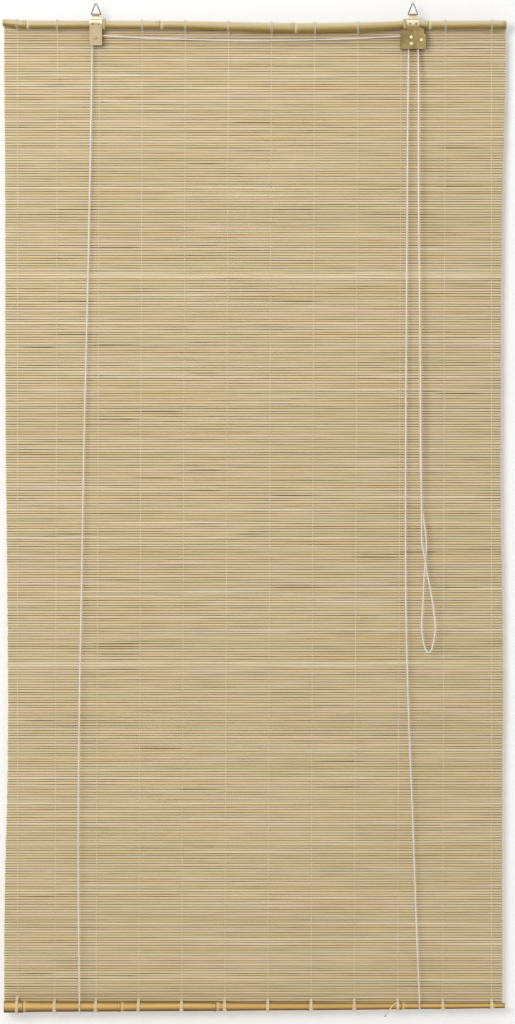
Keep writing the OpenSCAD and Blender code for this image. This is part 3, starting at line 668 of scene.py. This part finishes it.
def cords():
    lockX, strand, lockZ, lockR = cordRuns["lockPulley"]
    leftX, _, leftZ, leftR = cordRuns["leftPulley"]
    outX, _, outZ = cordRuns["down"][0]
    out = (outX + blind["bracketX"] - lockX, outZ + blind["railZ"] - lockZ)
    leave = math.degrees(math.atan2(out[1], out[0]) + math.acos(lockR / math.hypot(*out)))
    hang = Vector((blind["bracketX"], 0, blind["railZ"]))
    route = [(cordRuns["rightX"], -strand, lockZ - cordRuns["stub"])]
    route += wrapped(lockX, -strand, lockZ, lockR, 180, leave, 9)
    route += [hang + Vector(p) for p in cordRuns["down"] + cordRuns["up"]]
    route += wrapped(lockX, strand, lockZ, lockR, leave, 80, 5)
    pull, line = makeCord("pullCord", [route], "headrail", ["pull_cord"])
    longAs = sum((b - a).length for a, b in zip(line, line[1:]))
    print("pull cord", round(longAs, 3), "m")

    start, end = Vector((leftX, 0, leftZ + leftR)), Vector((lockX, strand, lockZ + lockR))
    span = []
    for s in np.linspace(*cordRuns["span"]):
        span.append(start.lerp(end, s) - Vector((0, 0, 4 * cordRuns["sag"] * s * (1 - s))))
    across = [(cordRuns["leftX"], 0, leftZ - cordRuns["stub"])]
    across += wrapped(leftX, 0, leftZ, leftR, 180, 90, 6) + span + [end]
    makeCord("crossCord", [across], "headrail", ["cross_cord"])

    for name, node, steps, x, y, z in (
        ("leftFrontCord", "left_front_cord", cordRuns["leftSteps"], cordRuns["leftX"], 0, leftZ),
        ("rightFrontCord", "right_front_cord", cordRuns["rightSteps"], cordRuns["rightX"], -strand, lockZ),
    ):
        run = frontRun(steps, x, y, z)
        piece, _ = makeCord(name, [run], "headrail", [node], cordRuns["longStep"])
        rollUp(piece, run[0][2], run[-1][2])

    ties, slings = [], []
    wide, stub, backY = cordRuns["tieWidth"], cordRuns["stub"], blind["backY"]
    for name, node, tieX, way, frontX, steps in (
        ("leftBackCord", "left_back_cord", cordRuns["tieLeft"], 1, cordRuns["leftX"], cordRuns["leftSteps"]),
        ("rightBackCord", "right_back_cord", cordRuns["tieRight"], -1, cordRuns["rightX"],
         cordRuns["rightSteps"]),
    ):
        slingX, endX = frontX + steps[-1][0], tieX + way * wide
        r, y, z = topCane(tieX)
        r += cordRuns["clear"] + cordR
        turns = [math.radians(a) for a in range(*cordRuns["tieTurns"])]
        tie = []
        for i, a in enumerate(turns):
            tie.append((tieX + way * wide * i / (len(turns) - 1), y + r * math.cos(a), z + r * math.sin(a)))
        ties.append(tie + [(endX, dy, blind["railZ"] + dz) for dy, dz in cordRuns["tieOver"]])
        _, y, bottom = bottomCane(slingX)
        high, low = blind["railZ"] - cordRuns["backTop"], bottom + cordRuns["start"]
        run = [(endX + (slingX - endX) * s, backY, high + (low - high) * s) for s in np.linspace(0, 1, 5)]
        piece, _ = makeCord(name, [run], "headrail", [node], cordRuns["longStep"])
        rollUp(piece, run[0][2], run[-1][2])
        r = slingRadius(slingX)
        sling = [(slingX, y - r, bottom + stub)]
        for a in np.arange(180, 361, 15):
            reach, turn = r if a < 270 else backY - y, math.radians(a)
            sling.append((slingX, y + reach * math.cos(turn), bottom + r * math.sin(turn)))
        slings.append(sling + [(slingX, backY, bottom + stub)])
    makeCord("cordTies", ties, "headrail", ["cord_ties"], cordRuns["tieStep"], (1, 0, 0), tiedCord)
    makeCord("cordSlings", slings, "bottom_bar", ["cord_slings"], cordRuns["slingStep"], (1, 0, 0))


cords()
print("cords laid")

splintMat = {
    "stations": 37,  # along a splint
    "endStation": 0.9992,  # the outer ones, as a share of half the length
    "sides": 8,  # points of the section
    "sway": 0.16,  # how far the line between two splints wanders
    "gap": (0.12, 0.38),  # half the gap between two splints, on the front
    "gapPower": 1.4,  # above 1, narrow gaps are the more common
    "dark": (0.84, 0.34, 0.2),  # painted shade on the gaps' sides: mean, spread and least
    "wideShare": 0.016,  # share of the bays with a wide gap
    "wide": (0.15, 0.4),
    "bayEdge": 4,  # from a wide gap to the warp threads
    "thick": (1.6, 2.0),
    "depthSway": 0.12,
    "toneSway": 0.12,
    # the lengths of the waves that each value wanders in
    "waves": {
        "line": (1700, 610, 230, 97),
        "gap": (520, 190, 83),
        "dark": (900, 260, 110),
        "depth": (800, 300, 120),
        "tone": (1300, 420),
    },
    # depth of the section's points as a share of half the thickness, how far they draw in, how much painted
    # shade they carry
    "section": {
        "face": (-1, 0.52, 0.0),
        "frontEdge": (-0.3, 0, 0.9),
        "backEdge": (0.6, 0, 1.0),
        "back": (1, 0.4, 0.1),
    },
    "faceFrom": 0.8,  # points of the swept section beyond this are on the face or the back
    "seed": 11,
    # the mat's side edges: share of the way down, and x there
    "left": [(0, -399.2), (0.05, -399), (0.1, -398.2), (0.16, -397.5), (0.35, -397.3), (0.45, -396.3),
             (0.55, -394.6), (0.62, -393.5), (0.7, -392.9), (0.75, -393.3), (0.8, -394.8), (0.85, -397.2),
             (0.9, -398.5), (1, -399.2)],
    "right": [(0, 400.2), (0.05, 400), (0.09, 398.2), (0.14, 396.2), (0.19, 394.4), (0.3, 392.9),
              (0.45, 392.2), (0.52, 393), (0.6, 395.6), (0.7, 396.3), (0.76, 395), (1, 395)],
    "fray": 0.9,
    "fade": [(0, 0.86), (0.3, 1), (0.62, 1), (0.85, 0.7), (1, 0.7)],  # how strong the gaps' painted shade is on the way down
    "paleRows": (97, 98, 249, 250),
    "paleDark": 0.45,
}


def wander(rng, count, xs, lengths):  # smooth uneven lines along the mat, about -1 to 1
    lines = np.zeros((count, len(xs)))
    for length in lengths:
        wave = np.sin(2 * np.pi * (xs / length + rng.random((count, 1))))
        lines += wave * rng.uniform(0.4, 1.0, (count, 1))
    return lines / len(lengths) ** 0.5


def splints():
    rng = np.random.default_rng(splintMat["seed"])
    rows, waves = blind["rows"], splintMat["waves"]
    edges, end = rows + 1, splintMat["endStation"]
    steps = np.concatenate([[-1], np.linspace(-end, end, splintMat["stations"]), [1]])
    xs = steps * blind["halfWidth"]
    # the line between two splints, half the gap there, and how much painted shade its sides carry
    line = valleys[:, None] + splintMat["sway"] * wander(rng, edges, xs, waves["line"])
    low, high = splintMat["gap"]
    uneven = (0.5 + 0.5 * wander(rng, edges, xs, waves["gap"])).clip(0, 1)
    gap = low + (high - low) * uneven ** splintMat["gapPower"]
    mean, spread, least = splintMat["dark"]
    dark = (mean + spread * wander(rng, edges, xs, waves["dark"])).clip(least, 1)
    slits = np.zeros_like(gap)
    for e in range(edges):
        for k in range(blind["warps"] - 1):
            if rng.random() < splintMat["wideShare"]:
                start, stop = [threadX(n, valleys[e]) for n in (k, k + 1)]
                inside = (xs > start + splintMat["bayEdge"]) & (xs < stop - splintMat["bayEdge"])
                slits[e, inside] = rng.uniform(*splintMat["wide"])
                dark[e, inside] = 1
    fade = np.interp(np.arange(edges) / rows, *zip(*splintMat["fade"]))[:, None]
    dark, slits = dark * fade, slits * fade
    line[0], line[-1] = valleys[0], valleys[-1]
    gap[0] = gap[-1] = 0
    thick = rng.uniform(*splintMat["thick"], (rows, 1))
    depth = matMid + splintMat["depthSway"] * wander(rng, rows, xs, waves["depth"])
    tones = rng.random((rows, 1)) + splintMat["toneSway"] * wander(rng, rows, xs, waves["tone"])
    tones = tones.clip(0, 1)
    for i in splintMat["paleRows"]:
        tones[i], dark[i] = 1, splintMat["paleDark"] * dark[i]

    # one straight splint, arrayed down the mat and then bent row by row
    bm = bmesh.new()
    lengthways = Matrix(((0, 0, 1, 0), (1, 0, 0, 0), (0, 1, 0, 0), (0, 0, 0, 1)))
    sweep(bm, [Matrix.Translation((s, 0, 0)) @ lengthways for s in steps], splintMat["sides"])
    turn = Matrix.Rotation(math.pi / splintMat["sides"], 3, "X")
    bmesh.ops.rotate(bm, cent=(0, 0, 0), matrix=turn, verts=bm.verts)
    bmesh.ops.recalc_face_normals(bm, faces=bm.faces)
    for part, (first, last) in enumerate(((0, rows // 2), (rows // 2, rows))):
        pattern = bpy.data.meshes.new("splintPattern")
        bm.to_mesh(pattern)
        strip = bpy.data.objects.new("splintPattern", pattern)
        bpy.context.scene.collection.objects.link(strip)
        array = strip.modifiers.new("rows", "ARRAY")
        count = last - first
        array.count, array.use_relative_offset = count, False
        array.use_constant_offset, array.constant_offset_displace = True, (0, 0, 4)  # placed below
        mesh = evaluated(strip)
        co = np.zeros(len(mesh.vertices) * 3, np.float32)
        mesh.vertices.foreach_get("co", co)
        co = co.reshape(count, -1, 3)
        # which station and which point of the section each point is
        along, across, up = co[0].T.copy()
        at = np.abs(along[:, None] - steps).argmin(1)
        flat = splintMat["faceFrom"]
        kind = np.select([across < -flat, across < 0, across < flat], [0, 1, 2], 3)
        reach, draw, rim = np.array(list(splintMat["section"].values())).T[:, kind]
        isTop, isFront = up > 0, kind < 2
        tone, paintedGapShades = np.zeros((2, *co.shape[:2]), np.float32)
        for n, i in enumerate(range(first, last)):
            x0, x1 = [np.interp(i / rows, *zip(*splintMat[side])) for side in ("left", "right")]
            x0 += rng.uniform(0, splintMat["fray"])
            x1 -= rng.uniform(0, splintMat["fray"])
            slack = [np.where(isFront, gap[e][at] + slits[e][at], 0) for e in (i, i + 1)]
            upper, lower = line[i][at] - slack[0] - draw, line[i + 1][at] + slack[1] + draw
            co[n, :, 2] = np.where(isTop, upper, lower)
            co[n, :, 1] = depth[i][at] + reach * thick[i] / 2
            co[n, :, 0] = x0 + (x1 - x0) * (along + 1) / 2
            tone[n] = tones[i][at]
            paintedGapShades[n] = rim * np.where(isTop, dark[i][at], dark[i + 1][at])
        mesh.vertices.foreach_set("co", (co * mm).ravel())
        for name, values in (("tone", tone), ("rim", paintedGapShades)):
            mesh.attributes.new(name, "FLOAT", "POINT").data.foreach_set("value", values.ravel())
        mesh.update()
        mesh.shade_smooth()
        piece = addPiece(f"splints{part + 1}", mesh, [splitBamboo], "headrail", ["mat"])
        rollUp(piece, blind["railZ"], valleys[-1])
        print(piece.name, len(mesh.polygons))
    bm.free()


splints()

threads = {
    "thick": 0.9,
    "slant": 0.35,
    "reach": (1.0, 0.8),  # from the mat's middle: its half thickness, and a share of the thread's radius
    "arch": [(0.0, 0), (0.25, 0.86), (0.5, 1), (0.75, 0.86)],  # share of a splint's width, and of the reach
    "room": (0.7, 1.2),  # from a cane to its lashing's slot: the lashing and the clearance
    "search": 20,  # rows from a cane within which its slots lie
    "clear": 0.25,  # from a cane to its lashing
    "before": 0.6,  # where a lashing passes the mat, from its front
    "behind": 0.7,  # and from its back
    "apart": 22,  # from a bracket to the next lashing
    "top": {"thick": 0.8, "turns": 2, "step": 2.0, "knot": 0.7},
    "bottom": {"thick": 1.15, "turns": 4, "step": 1.1, "knot": 1.35},
    "sides": 6,
    "lashStep": 0.0016,
    "knotStep": 0.0008,
    "knotOff": 0.5,
    "knotPoints": 21,
    "topKnot": 120,  # degrees round the cane
    "bottomKnots": (115, 140, 140),
    "knotShape": (0.75, 0.5, 0.55),  # width, depth and height of its curls
    "tail": 2.0,  # thickness of the loose end
    "tailFoot": 9,  # the lashing that it belongs to
    "tailTurn": 55,  # where it leaves the cane, in degrees up from its front
    "tailOff": 1.5,
    "tailRun": [(0, 0, 0), (-4, -2, -1.5), (-9.5, -4.6, -7), (-15, -6, -14.5), (-19.7, -6, -21)],
    "tailStep": 0.0012,
    "tailSides": 10,
}


def topRow(x):
    r, _, z = topCane(x)
    near = range(1, threads["search"] + 1)
    return next(i for i in near if valleys[i] < z - r - threads["room"][0] - threads["room"][1])


def bottomRow(x):
    r, _, z = bottomCane(x)
    near = range(blind["rows"] - threads["search"], blind["rows"])
    return max(i for i in near if valleys[i] > z + r + threads["room"][0] + threads["room"][1])


def warpThreads():
    r = threads["thick"] / 2
    halfMat, stand = threads["reach"]
    half = blind["warps"] // 2
    for part, (first, last) in enumerate(((0, half), (half, blind["warps"]))):
        bundle = bpy.data.curves.new("twine", "CURVE")
        bundle.dimensions, bundle.bevel_depth, bundle.bevel_resolution = "3D", r * mm, 0
        bundle.use_fill_caps = True
        for k in range(first, last):
            high, low = topRow(warps[k]), bottomRow(feet[k])
            for strand in (0, 1):
                points = []
                for i in range(high, low):
                    near = -1 if (i + strand) % 2 else 1
                    reach = near * (halfMat + r * stand)
                    for s, out in threads["arch"]:
                        z = valleys[i] + (valleys[i + 1] - valleys[i]) * s
                        x = threadX(k, z) + near * threads["slant"] * (2 * s - 1)
                        points.append((x, matMid + reach * out, z))
                spline = bundle.splines.new("POLY")
                spline.points.add(len(points) - 1)
                flat = np.ones((len(points), 4))
                flat[:, :3] = np.array(points) * mm
                spline.points.foreach_set("co", flat.ravel())
        holder = bpy.data.objects.new("twine", bundle)
        bpy.context.scene.collection.objects.link(holder)
        mesh = evaluated(holder)
        mesh.shade_smooth()
        name = f"warpThreads{part + 1}"
        piece = addPiece(name, mesh, [warpThread], "headrail", ["warp_threads"])
        head, foot = topRow(-blind["warpHalf"]), bottomRow(blind["warpHalf"])
        rollUp(piece, valleys[head] - threads["room"][0], valleys[foot])
        print(piece.name, len(mesh.polygons))


def lashing(bm, x, cane, slot, up, thread, knotAt):
    r, y, z = cane(x)
    half = thread["thick"] / 2
    loopR = r + threads["clear"] + half
    front, back = blind["matFront"] - threads["before"], blind["matBack"] + threads["behind"]
    around = [math.radians(a) for a in range(90, 271, 20)]
    loop = [(y + loopR * math.cos(a), z + up * loopR * math.sin(a)) for a in around]
    loop += [(front, slot), (back, slot), (back, slot + up * 2), (back, z + up * loopR * 0.8),
             (y + 4, z + up * loopR)]
    turns, count = thread["turns"], len(loop)
    path = []
    for n in range(count * turns + 1):
        path.append((x + thread["step"] * (n / count - turns / 2), *loop[n % count]))
    places = placesAlong(smoothRoute(metres(path), threads["lashStep"]), (1, 0, 0))
    sweep(bm, [p @ Matrix.Scale(half * mm, 4) for p in places], threads["sides"])
    # a knot pulled tight on the front of the cane
    a, out = math.radians(knotAt), loopR + threads["knotOff"]
    knot = Vector((x, y + out * math.cos(a), z + up * out * math.sin(a)))
    wide, deep, tall = threads["knotShape"]
    trefoil = []
    for n in range(threads["knotPoints"] + 1):
        t = n * 2 * math.pi / threads["knotPoints"]
        curl = ((math.sin(t) + 2 * math.sin(2 * t)) * wide, -math.sin(3 * t) * deep,
                (math.cos(t) - 2 * math.cos(2 * t)) * tall)
        trefoil.append(knot + Vector(curl) * thread["knot"])
    places = placesAlong(smoothRoute(metres(trefoil), threads["knotStep"]), (0, 1, 0))
    sweep(bm, [p @ Matrix.Scale(half * mm, 4) for p in places], threads["sides"])


def lashings():
    bm = bmesh.new()
    for x in warps:
        if abs(abs(x) - blind["bracketX"]) > threads["apart"]:
            lashing(bm, x, topCane, valleys[topRow(x)], 1, threads["top"], threads["topKnot"])
    finishPiece("topLashings", bm, [lashThread], "headrail", ["top_lashings"])
    bm = bmesh.new()
    for k, x in enumerate(feet):
        knotAt = threads["bottomKnots"][k % 3]
        lashing(bm, x, bottomCane, valleys[bottomRow(x)], -1, threads["bottom"], knotAt)
    finishPiece("bottomLashings", bm, [footThread], "bottom_bar", ["bottom_lashings"])

    x, off, turn = feet[threads["tailFoot"]], threads["tailOff"], math.radians(threads["tailTurn"])
    r, y, z = bottomCane(x)
    r += off
    start = Vector((x - off, y - r * math.cos(turn), z + r * math.sin(turn)))
    tail = smoothRoute(metres([start + Vector(p) for p in threads["tailRun"]]), threads["tailStep"])
    bm = bmesh.new()
    places = [p @ Matrix.Scale(threads["tail"] / 2 * mm, 4) for p in placesAlong(tail, (0, 1, 0))]
    sweep(bm, places, threads["tailSides"])
    end = finishPiece("looseThreadEnd", bm, [looseThread], "bottom_bar", ["bottom_lashings"])
    longAs = sum((b - a).length for a, b in zip(tail, tail[1:]))
    print("loose thread", round(longAs, 4), "m")


warpThreads()
lashings()
print("threads tied")

canes = {
    "sides": 40,
    "topKnots": [-365, -152, 61, 274],
    "bottomKnots": [-370, -215, -63, 86, 232, 375],
    "bottomHalf": 398.2,
    "step": 8,  # along the cane, away from the joints
    # and near a joint
    "near": [-11, -8, -6, -4.6, -3.6, -2.8, -2.1, -1.5, -1.0, -0.5, 0, 0.4, 0.8, 1.2, 1.6, 2.0, 2.6, 3.4, 4.6,
             6, 8, 11],
    "keepOff": 12,
    "rise": 0.7,  # of a joint's ridge
    "groove": 0.28,  # depth of the groove beside it
    # middle and reach of the ridge, the groove, the two dark rings and the bloom
    "ridgeAt": (0, 2.2),
    "grooveAt": (1.9, 0.45),
    "ringAt": (1.9, 0.5),
    "faintAt": (-2.6, 0.9),
    "bloomAt": (4.5, 2.2),
    "ringDark": (0.95, 0.35),
    "ripples": ((0.10, 31), (0.06, 11)),  # height and length
    "oval": (0.02, 140),
    "lip": 0.35,  # of an open end
    "wall": 2.4,
    "hollow": 18.0,
}


def caneSteps(knots, half):
    places = {round(k + d, 2) for k in knots for d in canes["near"]}
    for x in np.arange(-blind["halfLength"], blind["halfLength"] + 1, canes["step"]):
        if all(abs(x - k) > canes["keepOff"] for k in knots):
            places.add(float(x))
    return sorted({x for x in places if abs(x) < half - 1} | {-half, half})


def makeCane(name, shape, half, knots, finish, body, node, seed):
    rng = random.Random(seed)
    phases = [rng.random() * 6.3 for _ in range(3)]
    steps = caneSteps(knots, half)
    (wave, long), (ripple, short), (flat, slow) = *canes["ripples"], canes["oval"]
    ring, faint = canes["ringDark"]
    places, marks = [], []
    for x in steps:
        r, y, z = shape(x)
        d = min((x - k for k in knots), key=abs)
        ridge = canes["rise"] * bell(d, *canes["ridgeAt"]) - canes["groove"] * bell(d, *canes["grooveAt"])
        r += ridge + wave * math.sin(x / long + phases[0]) + ripple * math.sin(x / short + phases[1])
        oval = 1 + flat * math.sin(x / slow + phases[2])
        basis = Matrix(((0, 0, 1), (oval * r, 0, 0), (0, r / oval, 0))).to_4x4()
        scale = Matrix.Diagonal((mm, mm, mm, 1))
        places.append(Matrix.Translation(Vector((x, y, z)) * mm) @ scale @ basis)
        dark = bell(d, *canes["ringAt"]) * ring + faint * bell(d, *canes["faintAt"])
        marks.append((dark, bell(d, *canes["bloomAt"])))
    bm = bmesh.new()
    under, ringMark, bloom = [bm.verts.layers.float.new(n) for n in ("under", "ring", "bloom")]
    caps = sweep(bm, places, canes["sides"])
    for v in bm.verts:
        here = min(range(len(steps)), key=lambda i: abs(steps[i] - v.co.x / mm))
        r, _, z = shape(steps[here])
        v[under] = 0.5 - 0.5 * max(-1, min(1, (v.co.z / mm - z) / r))
        v[ringMark], v[bloom] = marks[here]
    # the open end: a wall, then a hollow that runs in to the first joint
    for cap in caps:
        inward = -1 if cap.calc_center_median().x > 0 else 1
        bmesh.ops.recalc_face_normals(bm, faces=bm.faces)
        lip, wide = canes["lip"] * mm, (canes["wall"] - canes["lip"]) * mm
        bmesh.ops.inset_region(bm, faces=[cap], thickness=lip, depth=0.0, use_even_offset=True)
        wall = bmesh.ops.inset_region(bm, faces=[cap], thickness=wide, use_even_offset=True)["faces"]
        for f in [cap] + wall:
            f.material_index = 1
        deep = bmesh.ops.extrude_face_region(bm, geom=[cap])["geom"]
        inner = [g for g in deep if isinstance(g, bmesh.types.BMVert)]
        bmesh.ops.delete(bm, geom=[cap], context="FACES_ONLY")
        bmesh.ops.translate(bm, vec=(inward * canes["hollow"] * mm, 0, 0), verts=inner)
        for v in inner:
            for f in v.link_faces:
                f.material_index = 1
    return finishPiece(name, bm, [finish, cutCane], body, [node])


makeCane("topCane", topCane, blind["halfLength"], canes["topKnots"], paleCane, "headrail",
         "top_rail", seed=3)
makeCane("bottomCane", bottomCane, canes["bottomHalf"], canes["bottomKnots"], honeyCane, "bottom_bar",
         "bottom_rail", seed=5)
print("canes made")

fittings = {
    "edge": 0.16,  # rounding of the pressed sheet's edges
    "sharp": 50,  # degrees: edges sharper than this are rounded
    "crease": 40,  # and those sharper than this aren't shaded smooth
    "weld": 0.002,
    "finishes": {
        "left_bracket": plateBrass,
        "lock_housing": lockBrass,
        "lock_face": faceBrass,
        "left_axle": axleBrass,
        "lock_rivets": rivetBrass,
        "lock_spacer": camBrass,
        "lock_cam": camBrass,
        "bracket_nails": nailSteel,
        "left_ring": steelWire,
        "right_ring": steelWire,
        "left_pulley": whitePlastic,
        "lock_pulley": whitePlastic,
    },
    "pressed": {"left_bracket": "leftBracket", "lock_housing": "lockHousing", "lock_face": "lockFace"},
}


def softEdged(node, name, finish):  # the node's own shape with its sharp edges rounded over
    bm = bmesh.new()
    bm.from_mesh(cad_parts[node].data)
    bmesh.ops.remove_doubles(bm, verts=bm.verts, dist=fittings["weld"] * mm)
    bmesh.ops.dissolve_limit(bm, angle_limit=math.radians(0.5), verts=bm.verts, edges=bm.edges)
    turn = math.radians(fittings["sharp"])
    sharp = [e for e in bm.edges if len(e.link_faces) == 2 and e.calc_face_angle(0) > turn]
    bmesh.ops.bevel(bm, geom=sharp, offset=fittings["edge"] * mm, offset_type="OFFSET", affect="EDGES",
                    segments=2, profile=0.5, material=-1, clamp_overlap=True)
    piece = finishPiece(name, bm, [finish], "headrail", [node])
    piece.data.set_sharp_from_angle(angle=math.radians(fittings["crease"]))
    piece.modifiers.new("flats", "WEIGHTED_NORMAL").keep_sharp = True


for node, finish in fittings["finishes"].items():
    if node in fittings["pressed"]:
        softEdged(node, fittings["pressed"][node], finish)
        continue
    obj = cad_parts[node]
    for s in obj.material_slots:
        s.material = finish
    if not obj.material_slots:
        obj.data.materials.append(finish)
print("fittings dressed")
